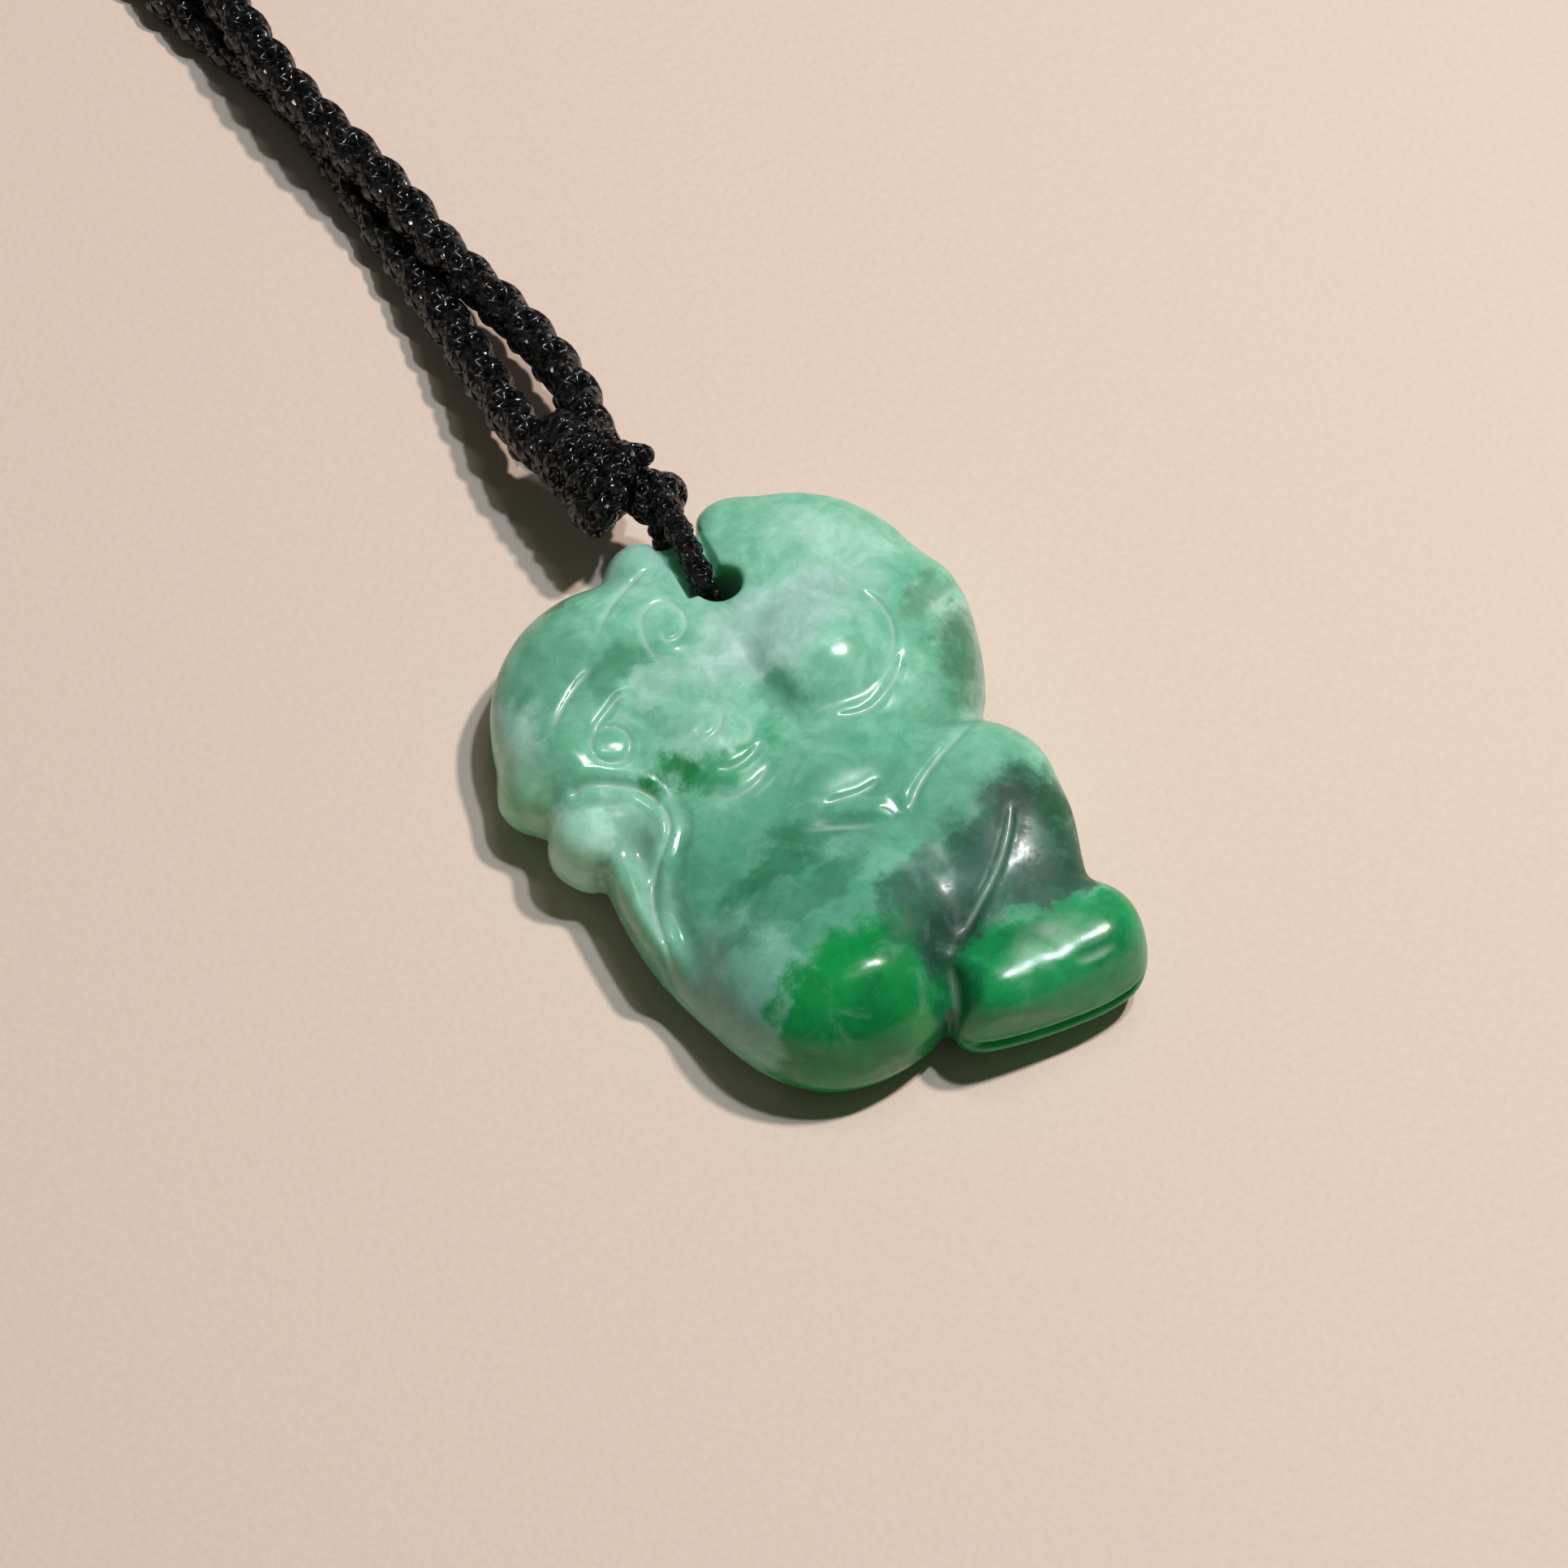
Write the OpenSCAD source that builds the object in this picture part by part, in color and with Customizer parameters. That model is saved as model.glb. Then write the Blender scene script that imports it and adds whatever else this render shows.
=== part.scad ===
// Carved jade pendant on a braided neck cord, lying on its back.
// Millimetres. The carving's flat back is at z = 0 and its outline is centred on the Z axis.
// +Y runs from the foot of the figure to the drilled hole, +Z out of the carved front.

/* [Jade carving] */
// Height of the highest carved masses above the flat back
jade_h = 9; // [8:0.25:11]
// How far the flat back stays inside the outline
back_edge = 2.4; // [1.6:0.2:3]
// Diameter of the drilled hole
hole_d = 2.4; // [2.3:0.1:2.7]
// Depth of the seat that the bail cord has in the back
back_seat = 2.3; // [2.2:0.1:2.8]

/* [Bail] */
// Diameter of the thin bail cord
bail_d = 1.5; // [1.2:0.1:1.6]
// Diameter of the knot that ties the bail cord
bail_knot_d = 3.6; // [3:0.1:3.8]
// Gap between bodies that move on each other
clearance = 0.2; // [0.1:0.05:0.3]
// Swing of the carving in its notch, clockwise
swing_cw = 4; // [2:1:5]
// Swing of the carving in its notch, anticlockwise
swing_ccw = 4; // [2:1:6]

/* [Neck cord] */
// Diameter of each braided strand
cord_d = 2.4; // [2:0.1:2.8]
// Radius of the coil's inner wall of turns, at the cord's centre
coil_r = 12; // [11:0.5:14]
// Turns of the left strand, which makes the outer wall
turns_left = 2.6; // [2:0.1:3]
// Turns of the right strand, which makes the inner wall
turns_right = 3.1; // [2:0.1:3.5]
// Width of the tie that holds the coil
tie_w = 3; // [2:0.5:4]
// Diameter of the button knot of the clasp
button_d = 5; // [4:0.25:6]

/* [Hidden] */
$fn = 64;

jade_green = "mediumaquamarine";
cord_black = "dimgray";

// Masses of the carving: two ends, the same for a round one, radius, top as a share of jade_h
MASSES = [
  [[-4.8, 8.5], [-4.8, 8.5], 7.5, 0.82], // head
  [[4.9, 6.9], [4.9, 6.9], 8.5, 0.9], // fruit
  [[5, 9.9], [5, 9.9], 7.5, 0.78], // leaf over the fruit
  [[-0.5, -3], [1.5, -2], 7.8, 0.88], // trunk and arms
  [[-2.4, -9.3], [-2.4, -9.3], 6.9, 0.96], // haunch
  [[8.6, -4.3], [8.6, -4.3], 3.9, 0.95], // knee
  [[8.5, -6], [7.6, -11], 3.6, 0.86], // shin
  [[4, -14.9], [9.8, -14.6], 2.5, 0.9], // feet
  [[-11.4, 5.2], [-11.4, 5.2], 2, 0.55], // ear
  [[-3.1, 4], [-3.1, 4], 3.5, 0.95], // muzzle
  [[-7.6, 6.2], [-7.6, 6.2], 3, 0.9], // brow and cheek
  [[11.7, 6.8], [11.7, 6.8], 1.7, 0.55], // tip of the leaf
  [[-1, 15.6], [-1, 15.6], 1.8, 0.66], // left bump over the notch
  [[4.4, 15.7], [4.4, 15.7], 1.8, 0.66], // right bump over the notch
  [[-10.6, 2.5], [-9.9, 1.6], 1.8, 0.62], // tip of the tail
  [[-9, -1.5], [-8.6, -9], 1.35, 0.6] // tail down the back
];
MASS_CENTRE = [0, -1];
dome_power = 2.6;
blend_power = 10;
rim_h = 3;
spokes = 80;
rings = 14;

// The bail cord's leg, which is the axis that the carving swings on, and the hole that it lies in
LEG = [1.1, 11.9];
leg_side = 150;
hole_play = (hole_d - bail_d) / 2 - clearance;
HOLE = [LEG[0] - hole_play * cos(leg_side), LEG[1] - hole_play * sin(leg_side)];
bail_low = bail_d / 2 + 0.4;
bail_high = 6.8;
bail_bend = 1.5;
KNOT = [1.6, 18.7, 5.4];
bail_dir = atan2(KNOT[1] - LEG[1], KNOT[0] - LEG[0]);
bail_len = norm([KNOT[0] - LEG[0], KNOT[1] - LEG[1]]);
notch_floor = bail_high - bail_d / 2 - clearance;
notch_half = bail_d / 2 + clearance;
bridge_w = 3.8;
bail_turn = bridge_w + bail_d / 2 + clearance;
tied_apart = bail_d / 2 + 0.05;

// Binding knot: a barrel from the bail knot to where the strands part
BIND_A = [0, 18.9, 4.9];
BIND_B = [-0.8, 23.7, 5];
bind_r = 2.5;

// Coil: centre, and the strands' walls of turns, one inside the other
COIL = [6.5, 79];
end_left = 180 - 360 * turns_left;
end_right = 180 - 360 * turns_right;
tie_angle = -110;
tie_t = 0.8;
loop_r = 3;
loop_d = 1.5;
button_z = cord_d * turns_left + button_d / 2;
button_out = 1.4;
button_past = 10;
loop_z = cord_d * (turns_right + 0.5);

// Routes of the two strands from the binding knot to the coil
LEFT_ROUTE = [
  [-1.8, 23.1, 4.9], [-2.5, 26.2, 4.1], [-2.6, 30.7, 3.2], [-2.6, 34.8, 2.5], [-2.7, 38.6, 2],
  [-2.8, 42, 1.6], [-3, 45.5, 1.4], [-3.1, 48.7, 1.3], [-3.3, 52, 1.3], [-4, 55.4, 1.3],
  [-5.3, 58.9, 1.3], [-6.6, 62.5, 1.3], [-7.5, 66.4, 1.3], [-7.9, 71, 1.3], [-7.9, 75, 1.3],
  [-7.9, 79, 1.3]
];
RIGHT_ROUTE = [
  [0, 22.9, 5.2], [0.9, 26.2, 4.6], [0.9, 30.4, 3.9], [0.3, 34.1, 3.4], [-0.6, 37.5, 3.3],
  [-1.3, 40.3, 3.5], [-1.8, 43.3, 3.7], [-2.5, 46.5, 3.7], [-3.4, 49.9, 3.7], [-4.1, 53.4, 3.7],
  [-4.5, 56.7, 3.7], [-4.7, 60.2, 3.6], [-4.9, 64, 3.1], [-5.2, 68.5, 2.2], [-5.5, 73.5, 1.5],
  [-5.5, 79, 1.3]
];

// Curve through a route's points, and the tube swept along it
tube_sides = 8;
tube_steps = 2;

function clamped(p, i) = p[max(0, min(len(p) - 1, i))];
function on_route(p, i, t) =
  let (a = clamped(p, i - 1), b = clamped(p, i), c = clamped(p, i + 1), d = clamped(p, i + 2))
  0.5 * (
    2 * b + (c - a) * t + (2 * a - 5 * b + 4 * c - d) * t * t
    + (3 * b - a - 3 * c + d) * t * t * t
  );
function smooth_route(p) = [
  for (i = [0:len(p) - 2]) for (k = [0:tube_steps - 1]) on_route(p, i, k / tube_steps),
  p[len(p) - 1]
];
function unit(v) = v / norm(v);
function towards(angle) = [cos(angle), sin(angle)];
function heading(q, i) = unit(clamped(q, i + 1) - clamped(q, i - 1));
function tube_ring(c, dir, r, up) =
  let (side = unit(cross(dir, up)), top = cross(side, dir))
  [
    for (k = [0:tube_sides - 1])
      let (turn = 360 * k / tube_sides)
      c + r * (side * cos(turn) + top * sin(turn))
  ];

module tube(route, d, up = [0, 0, 1]) {
  q = smooth_route(route);
  n = len(q);
  points = [for (i = [0:n - 1]) each tube_ring(q[i], heading(q, i), d / 2, up)];
  walls = [
    for (i = [0:n - 2]) for (k = [0:tube_sides - 1])
      let (a = i * tube_sides, b = (k + 1) % tube_sides)
      [a + k, a + b, a + tube_sides + b, a + tube_sides + k]
  ];
  first = [for (k = [tube_sides - 1:-1:0]) k];
  last = [for (k = [0:tube_sides - 1]) (n - 1) * tube_sides + k];
  polyhedron(points, concat(walls, [first, last]), convexity = 8);
}

// Distance from p to a mass's spine as a share of its radius
function along(a, b, p) = a == b ? 0 : max(0, min(1, (p - a) * (b - a) / ((b - a) * (b - a))));
function share(m, p) = norm(p - m[0] - along(m[0], m[1], p) * (m[1] - m[0])) / m[2];
// Outline and height that the masses make together
function inside(p) = min([for (m = MASSES) share(m, p)]) < 1;
function refined(dir, low, high, n) =
  n == 0 ? low
  : let (mid = (low + high) / 2) inside(MASS_CENTRE + mid * dir) ? refined(dir, mid, high, n - 1)
  : refined(dir, low, mid, n - 1);
function outline(dir) =
  let (step = 0.4, far = max([for (t = [0:step:24]) if (inside(MASS_CENTRE + t * dir)) t]))
  refined(dir, far, far + step, 6);
function dome(m, p) =
  let (d = share(m, p))
  d >= 1 ? 0 : m[3] * jade_h * pow(1 - pow(d, dome_power), 1 / dome_power);
function total(v) = v * [for (x = v) 1];
function height(p) =
  pow(pow(rim_h, blend_power) + total([for (m = MASSES) pow(dome(m, p), blend_power)]), 1 / blend_power);

// Closed shell: a carved front that follows the masses, an upright rim and a flat back
module carved_shell() {
  dirs = [for (i = [0:spokes - 1]) towards(360 * i / spokes)];
  reach = [for (dir = dirs) outline(dir)];
  front = [
    for (j = [1:rings]) for (i = [0:spokes - 1])
      let (p = MASS_CENTRE + reach[i] * sin(90 * j / rings) * dirs[i])
      [p[0], p[1], height(p)]
  ];
  back = [
    for (turn = [30:30:90]) for (i = [0:spokes - 1])
      let (p = MASS_CENTRE + (reach[i] - back_edge * (1 - cos(turn))) * dirs[i])
      [p[0], p[1], rim_h * (1 - sin(turn))]
  ];
  top = [[MASS_CENTRE[0], MASS_CENTRE[1], height(MASS_CENTRE)]];
  last = (rings + 3) * spokes;
  faces = [
    for (j = [0:rings + 1]) for (i = [0:spokes - 1])
      let (a = j * spokes, k = (i + 1) % spokes)
      each [[a + i, a + spokes + k, a + spokes + i], [a + i, a + k, a + spokes + k]]
  ];
  crown = [for (i = [0:spokes - 1]) [last, (i + 1) % spokes, i]];
  base = [[for (i = [0:spokes - 1]) (rings + 2) * spokes + i]];
  polyhedron(concat(front, back, top), concat(faces, crown, base), convexity = 8);
}

// Wedge that leaves the bail cord room to lean as the carving swings
module bail_channel() {
  reach = 12;
  right_lean = bail_dir - swing_ccw;
  left_lean = bail_dir + swing_cw;
  right_foot = notch_half * towards(right_lean - 90);
  left_foot = notch_half * towards(left_lean + 90);
  translate([LEG[0], LEG[1]]) polygon([
    right_foot, right_foot + reach * towards(right_lean),
    left_foot + reach * towards(left_lean), left_foot
  ]);
}

module jade_carving() {
  cut = 1;
  open_w = 12;
  bridge_end = LEG[1] + bridge_w;
  color(jade_green) difference() {
    carved_shell();
    translate([HOLE[0], HOLE[1], -cut]) cylinder(d = hole_d, h = jade_h + 2 * cut);
    translate([0, 0, notch_floor]) linear_extrude(jade_h) bail_channel();
    translate([0, 0, -cut]) linear_extrude(back_seat + cut) bail_channel();
    translate([0, 0, -cut]) linear_extrude(jade_h + 2 * cut) intersection() {
      bail_channel();
      translate([HOLE[0] - open_w / 2, bridge_end]) square(open_w);
    }
  }
}

// Loop through the hole and round the bridge, in the upright plane towards its knot
module bail_cord() {
  step = 22.5;
  low = [for (t = [180:step:270]) [bail_bend * (1 + cos(t)), bail_low + bail_bend * (1 + sin(t))]];
  high = [for (t = [90:step:180]) [bail_bend * (1 + cos(t)), bail_high - bail_bend * (1 - sin(t))]];
  tied_high = [bail_len, KNOT[2] + tied_apart];
  tied_low = [bail_len, KNOT[2] - tied_apart];
  path = concat([tied_high, [bail_turn, bail_high]], high, low, [[bail_turn, bail_low], tied_low]);
  across = towards(bail_dir);
  route = [for (p = path) [LEG[0] + p[0] * across[0], LEG[1] + p[0] * across[1], p[1]]];
  color(cord_black) tube(route, bail_d, up = [1, 0, 0]);
}

module bail_knot() {
  color(cord_black) translate(KNOT) sphere(d = bail_knot_d);
}

// Barrel that joins the strands, hollowed at its end so that the bail knot can roll in it
module binding_knot() {
  span = BIND_B - BIND_A;
  color(cord_black) difference() {
    union() {
      translate(BIND_A) rotate([0, acos(span[2] / norm(span)), atan2(span[1], span[0])])
        cylinder(r = bind_r, h = norm(span));
      translate(BIND_B) sphere(bind_r);
    }
    translate(KNOT) sphere(d = bail_knot_d + 2 * clearance);
  }
}

module braid_left() {
  color(cord_black) tube(LEFT_ROUTE, cord_d);
}

module braid_right() {
  color(cord_black) tube(RIGHT_ROUTE, cord_d);
}

// One wall of turns, a cord thick
module coil_wall(r, turns) {
  translate([COIL[0], COIL[1], 0]) rotate_extrude()
    translate([r - cord_d / 2, 0]) square([cord_d, cord_d * (turns + 1)]);
}

module coil_left() {
  color(cord_black) coil_wall(coil_r + cord_d, turns_left);
}

module coil_right() {
  color(cord_black) coil_wall(coil_r, turns_right);
}

// Band wound round both walls of the coil, over the step between their tops
module coil_tie() {
  inner = coil_r - cord_d / 2;
  middle = inner + cord_d;
  outer = middle + cord_d;
  high = cord_d * (turns_right + 1);
  low = cord_d * (turns_left + 1);
  step = middle + tie_t * sign(high - low);
  in_top = [[middle, low], [middle, high], [inner, high]];
  out_top = [[step, low + tie_t], [step, high + tie_t], [inner - tie_t, high + tie_t]];
  color(cord_black) translate([COIL[0], COIL[1], 0]) rotate([90, 0, tie_angle])
    linear_extrude(tie_w, center = true) difference() {
      polygon(concat([[inner - tie_t, 0], [outer + tie_t, 0], [outer + tie_t, low + tie_t]], out_top));
      polygon(concat([[inner, tie_t], [outer, tie_t], [outer, low]], in_top));
    }
}

// Clasp: the left strand ends in a button knot, the right strand in a loop that takes it
module button_knot() {
  at = COIL + (coil_r + cord_d + button_out) * towards(end_left - button_past);
  color(cord_black) translate([at[0], at[1], button_z]) sphere(d = button_d);
}

module clasp_loop() {
  reach = loop_r + cord_d / 2;
  color(cord_black) translate([COIL[0], COIL[1], loop_z]) rotate(end_right) translate([coil_r, -reach, 0])
    rotate_extrude() translate([loop_r, 0]) circle(d = loop_d);
}

jade_carving();
bail_cord();
bail_knot();
binding_knot();
braid_left();
braid_right();
coil_left();
coil_right();
coil_tie();
button_knot();
clasp_loop();
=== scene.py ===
"""Looks of a carved jade pendant on a braided neck cord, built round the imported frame.

Shapes are worked out in millimetres, in the frame of the part, and turned into metres as a mesh is made.
The order is camera, mesh helpers, cords, carving, materials, bodies, stage.
"""

import math

import bmesh
import bpy
import numpy as np
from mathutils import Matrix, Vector


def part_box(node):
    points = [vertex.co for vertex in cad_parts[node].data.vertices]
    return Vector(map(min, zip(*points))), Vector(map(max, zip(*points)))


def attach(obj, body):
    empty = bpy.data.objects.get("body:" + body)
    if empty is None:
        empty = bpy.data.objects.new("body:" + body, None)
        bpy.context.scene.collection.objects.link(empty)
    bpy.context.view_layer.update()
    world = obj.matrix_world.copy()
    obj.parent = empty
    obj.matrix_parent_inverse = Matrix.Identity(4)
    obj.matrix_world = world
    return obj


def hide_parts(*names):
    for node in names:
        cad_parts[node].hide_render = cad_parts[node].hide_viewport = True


MM = 0.001

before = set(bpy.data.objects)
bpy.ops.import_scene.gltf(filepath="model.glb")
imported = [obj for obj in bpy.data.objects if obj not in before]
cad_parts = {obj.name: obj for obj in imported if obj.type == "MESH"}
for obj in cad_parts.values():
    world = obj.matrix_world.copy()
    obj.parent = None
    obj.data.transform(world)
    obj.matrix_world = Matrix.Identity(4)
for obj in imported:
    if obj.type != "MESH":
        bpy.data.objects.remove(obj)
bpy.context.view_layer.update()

# ---------------------------------------------------------------- camera

# In millimetres: where the camera stands, where it looks, its lens and its sensor
CAMERA_AT = (-68.1, -132.9, 264.1)
CAMERA_AIM = (0.0, 0.8, 4.3)
CAMERA_LENS = 134.2
CAMERA_SENSOR = 36

camera = bpy.data.objects.new("camera", bpy.data.cameras.new("camera"))
camera.location = Vector(CAMERA_AT) * MM
camera.rotation_euler = (Vector(CAMERA_AIM) - Vector(CAMERA_AT)).to_track_quat("-Z", "Y").to_euler()
camera.data.lens = CAMERA_LENS
camera.data.sensor_width = CAMERA_SENSOR
camera.data.clip_start = 0.01
bpy.context.scene.collection.objects.link(camera)
bpy.context.scene.camera = camera


# ---------------------------------------------------------------- meshes


def mesh_piece(name, points, quads, tris=(), uv=None):
    """A smooth-shaded object from points in millimetres."""
    quads = np.asarray(quads, np.int32).reshape(-1, 4)
    tris = np.asarray(tris, np.int32).reshape(-1, 3)
    corners = np.concatenate([quads.ravel(), tris.ravel()])
    sizes = np.concatenate([np.full(len(quads), 4), np.full(len(tris), 3)])
    mesh = bpy.data.meshes.new(name)
    mesh.vertices.add(len(points))
    mesh.vertices.foreach_set("co", (np.asarray(points) * MM).astype(np.float32).ravel())
    mesh.loops.add(len(corners))
    mesh.loops.foreach_set("vertex_index", corners)
    mesh.polygons.add(len(sizes))
    mesh.polygons.foreach_set("loop_start", (np.cumsum(sizes) - sizes).astype(np.int32))
    if uv is not None:
        layer = mesh.uv_layers.new(name="along")
        layer.data.foreach_set("uv", np.asarray(uv, np.float32)[corners].ravel())
    mesh.update(calc_edges=True)
    mesh.polygons.foreach_set("use_smooth", np.ones(len(sizes), bool))
    piece = bpy.data.objects.new(name, mesh)
    bpy.context.scene.collection.objects.link(piece)
    return piece


def smooth_route(points, steps):
    """The curve through a route's points, with the ends held, as the CAD model draws it."""
    p = np.asarray(points, float)
    last = len(p) - 1
    found = []
    for i in range(last):
        a, b, c, d = p[max(i - 1, 0)], p[i], p[i + 1], p[min(i + 2, last)]
        for t in np.arange(steps) / steps:
            bend = (2 * a - 5 * b + 4 * c - d) * t**2 + (3 * b - a - 3 * c + d) * t**3
            found.append(0.5 * (2 * b + (c - a) * t + bend))
    return np.array(found + [p[last]])


def lengths(line):
    """Distance along a line to each of its points."""
    return np.concatenate([[0], np.cumsum(np.linalg.norm(np.diff(line, axis=0), axis=1))])


def spaced(line, step):
    """The same line with its points about a step apart."""
    along = lengths(line)
    at = np.linspace(0, along[-1], max(3, math.ceil(along[-1] / step) + 1))
    return np.stack([np.interp(at, along, line[:, k]) for k in range(3)], axis=1)


def unit(v):
    """A vector, or each of several, at length 1."""
    return v / np.maximum(np.linalg.norm(v, axis=-1, keepdims=True), 1e-9)


def sides_of(line, up):
    """Two directions across a line at each of its points, the second one nearest to up."""
    ahead = unit(np.gradient(line, axis=0))
    side = unit(np.cross(ahead, np.asarray(up, float)))
    return side, np.cross(side, ahead)


# Rings that round off a tube's end, as shares of its radius
TUBE_TIPS = (0.05, 0.45, 0.8)


def tube_parts(line, radius, sides, up=(0, 0, 1)):
    """Points, quads, end triangles and (turn, length) pairs of a tube with round ends."""
    side, top = sides_of(line, up)
    ahead = unit(np.gradient(line, axis=0))
    radius = np.broadcast_to(radius, len(line)).astype(float)
    tips = np.array(TUBE_TIPS)
    lift = np.sqrt(1 - tips**2)
    first = line[0] - np.outer(lift, ahead[0]) * radius[0]
    final = line[-1] + np.outer(lift[::-1], ahead[-1]) * radius[-1]
    centres = np.concatenate([first, line, final])
    radii = np.concatenate([tips * radius[0], radius, tips[::-1] * radius[-1]])
    extra = len(tips)
    side = np.concatenate([np.repeat(side[:1], extra, 0), side, np.repeat(side[-1:], extra, 0)])
    top = np.concatenate([np.repeat(top[:1], extra, 0), top, np.repeat(top[-1:], extra, 0)])
    turn = np.arange(sides) / sides
    across = np.cos(2 * math.pi * turn)[None, :, None] * side[:, None]
    upward = np.sin(2 * math.pi * turn)[None, :, None] * top[:, None]
    points = centres[:, None] + radii[:, None, None] * (across + upward)
    rings, spots = len(centres), np.arange(sides)
    row = np.arange(rings - 1)[:, None] * sides
    after = (spots + 1) % sides
    quads = np.stack([row + spots, row + after, row + sides + after, row + sides + spots], -1)
    first_tip, final_tip = rings * sides, rings * sides + 1
    end = (rings - 1) * sides
    tris = np.concatenate(
        [
            np.stack([np.full(sides, first_tip), after, spots], -1),
            np.stack([np.full(sides, final_tip), end + spots, end + after], -1),
        ]
    )
    along = lengths(centres)
    marks = np.stack(np.broadcast_arrays(turn[None, :], along[:, None]), -1).reshape(-1, 2)
    points = np.concatenate([points.reshape(-1, 3), centres[:1], centres[-1:]])
    marks = np.concatenate([marks, [[0, 0], [0, along[-1]]]])
    return points, quads.reshape(-1, 4), tris, marks


def tubes_piece(name, parts):
    """One object out of several tubes."""
    points, quads, tris, marks, base = [], [], [], [], 0
    for p, q, t, m in parts:
        points.append(p)
        quads.append(q + base)
        tris.append(t + base)
        marks.append(m)
        base += len(p)
    return mesh_piece(name, *(np.concatenate(v) for v in (points, quads, tris, marks)))


# A braid's plies, as shares of its width: radius, distance from the middle, and rise at a crossing
PLY_R, PLY_OUT, PLY_WAVE = 0.27, 0.215, 0.04
PLY_SIDES = 10


def braid_parts(line, width, pitch, up=(0, 0, 1), start=0.0):
    """Four plies of a round braid: two wind each way, and pass over and under each other."""
    ply, mean, wave = PLY_R * width, PLY_OUT * width, PLY_WAVE * width
    side, top = sides_of(line, up)
    turn = 2 * math.pi * lengths(line) / pitch + start
    parts = []
    for way in (1, -1):
        for offset in (0, math.pi):
            reach = (mean + way * wave * np.cos(2 * turn))[:, None]
            angle = (way * turn + offset)[:, None]
            centre = line + reach * (np.cos(angle) * side + np.sin(angle) * top)
            parts.append(tube_parts(centre, ply, PLY_SIDES, up))
    return parts


# ---------------------------------------------------------------- cords

CORD_D = 2.4
BAIL_D = 1.5
# Width that a strand's braid is worked out from, and the step along its line
BRAID_W = 2.6
BRAID_STEP = 0.2
# Length in which a ply winds once round, in a strand and in the thin cord
BRAID_PITCH = 5.2
THIN_PITCH = 2.6
# Turn of the right strand's plies against the left one's
BRAID_SHIFT = 1.1
COIL = np.array([6.5, 79.0])
COIL_R = 12.0
COIL_START = math.pi
TURNS_LEFT, TURNS_RIGHT = 2.6, 3.1
REST_Z = 1.3

LEFT_ROUTE = [
    (-1.8, 23.1, 4.9), (-2.5, 26.2, 4.1), (-2.6, 30.7, 3.2), (-2.6, 34.8, 2.5), (-2.7, 38.6, 2),
    (-2.8, 42, 1.6), (-3, 45.5, 1.4), (-3.1, 48.7, 1.3), (-3.3, 52, 1.3), (-4, 55.4, 1.3),
    (-5.3, 58.9, 1.3), (-6.6, 62.5, 1.3), (-7.5, 66.4, 1.3), (-7.9, 71, 1.3), (-7.9, 75, 1.3),
    (-7.9, 79, 1.3),
]
RIGHT_ROUTE = [
    (0, 22.9, 5.2), (0.9, 26.2, 4.6), (0.9, 30.4, 3.9), (0.3, 34.1, 3.4), (-0.6, 37.5, 3.3),
    (-1.3, 40.3, 3.5), (-1.8, 43.3, 3.7), (-2.5, 46.5, 3.7), (-3.4, 49.9, 3.7), (-4.1, 53.4, 3.7),
    (-4.5, 56.7, 3.7), (-4.7, 60.2, 3.6), (-4.9, 64, 3.1), (-5.2, 68.5, 2.2), (-5.5, 73.5, 1.5),
    (-5.5, 79, 1.3),
]


def coil_turns(radius, turns):
    """Clockwise turns of a coil, each a cord's thickness higher than the last."""
    per_turn = 72
    t = np.linspace(0, turns, math.ceil(turns * per_turn) + 1)[1:]
    angle = COIL_START - 2 * math.pi * t
    flat = COIL + radius * np.stack([np.cos(angle), np.sin(angle)], -1)
    return np.column_stack([flat, REST_Z + CORD_D * t])


def strand_line(route, radius, turns):
    """A strand's whole line: its route in view, and then its turns of the coil."""
    line = np.concatenate([smooth_route(route, 8), coil_turns(radius, turns)])
    return spaced(line, BRAID_STEP)


left_line = strand_line(LEFT_ROUTE, COIL_R + CORD_D, TURNS_LEFT)
right_line = strand_line(RIGHT_ROUTE, COIL_R, TURNS_RIGHT)
left_strand = tubes_piece("left_strand", braid_parts(left_line, BRAID_W, BRAID_PITCH))
right_strand = tubes_piece("right_strand", braid_parts(right_line, BRAID_W, BRAID_PITCH, start=BRAID_SHIFT))

# The bail: a loop of thin braid through the hole, round the bridge and into its knot
CLEARANCE = 0.2
LEG = np.array([1.1, 11.9])
LEG_SIDE = math.radians(150)
HOLE_R = 1.2
HOLE = LEG - (HOLE_R - BAIL_D / 2 - CLEARANCE) * np.array([math.cos(LEG_SIDE), math.sin(LEG_SIDE)])
KNOT = np.array([1.6, 18.7, 5.4])
# Heights of the loop's two runs, radius of its bends, where it leaves the bridge, and its gap at the knot
BAIL_LOW, BAIL_HIGH, BAIL_BEND, BAIL_TURN = 1.15, 6.8, 1.5, 4.75
TIED_APART = 0.8
BAIL_OUT = unit(KNOT[:2] - LEG)


def bail_line():
    """The loop's own line in its upright plane, from the knot round and back to it."""
    reach = float(np.linalg.norm(KNOT[:2] - LEG))
    down = np.radians(np.arange(90, 181, 15))
    under = np.radians(np.arange(180, 271, 15))
    path = [(reach, KNOT[2] + TIED_APART), (BAIL_TURN, BAIL_HIGH)]
    path += [(BAIL_BEND * (1 + math.cos(a)), BAIL_HIGH - BAIL_BEND * (1 - math.sin(a))) for a in down]
    path += [(BAIL_BEND * (1 + math.cos(a)), BAIL_LOW + BAIL_BEND * (1 + math.sin(a))) for a in under]
    path += [(BAIL_TURN, BAIL_LOW), (reach, KNOT[2] - TIED_APART)]
    flat = np.array([u for u, z in path])[:, None] * BAIL_OUT + LEG
    return spaced(smooth_route(np.column_stack([flat, [z for u, z in path]]), 8), 0.1)


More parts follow.
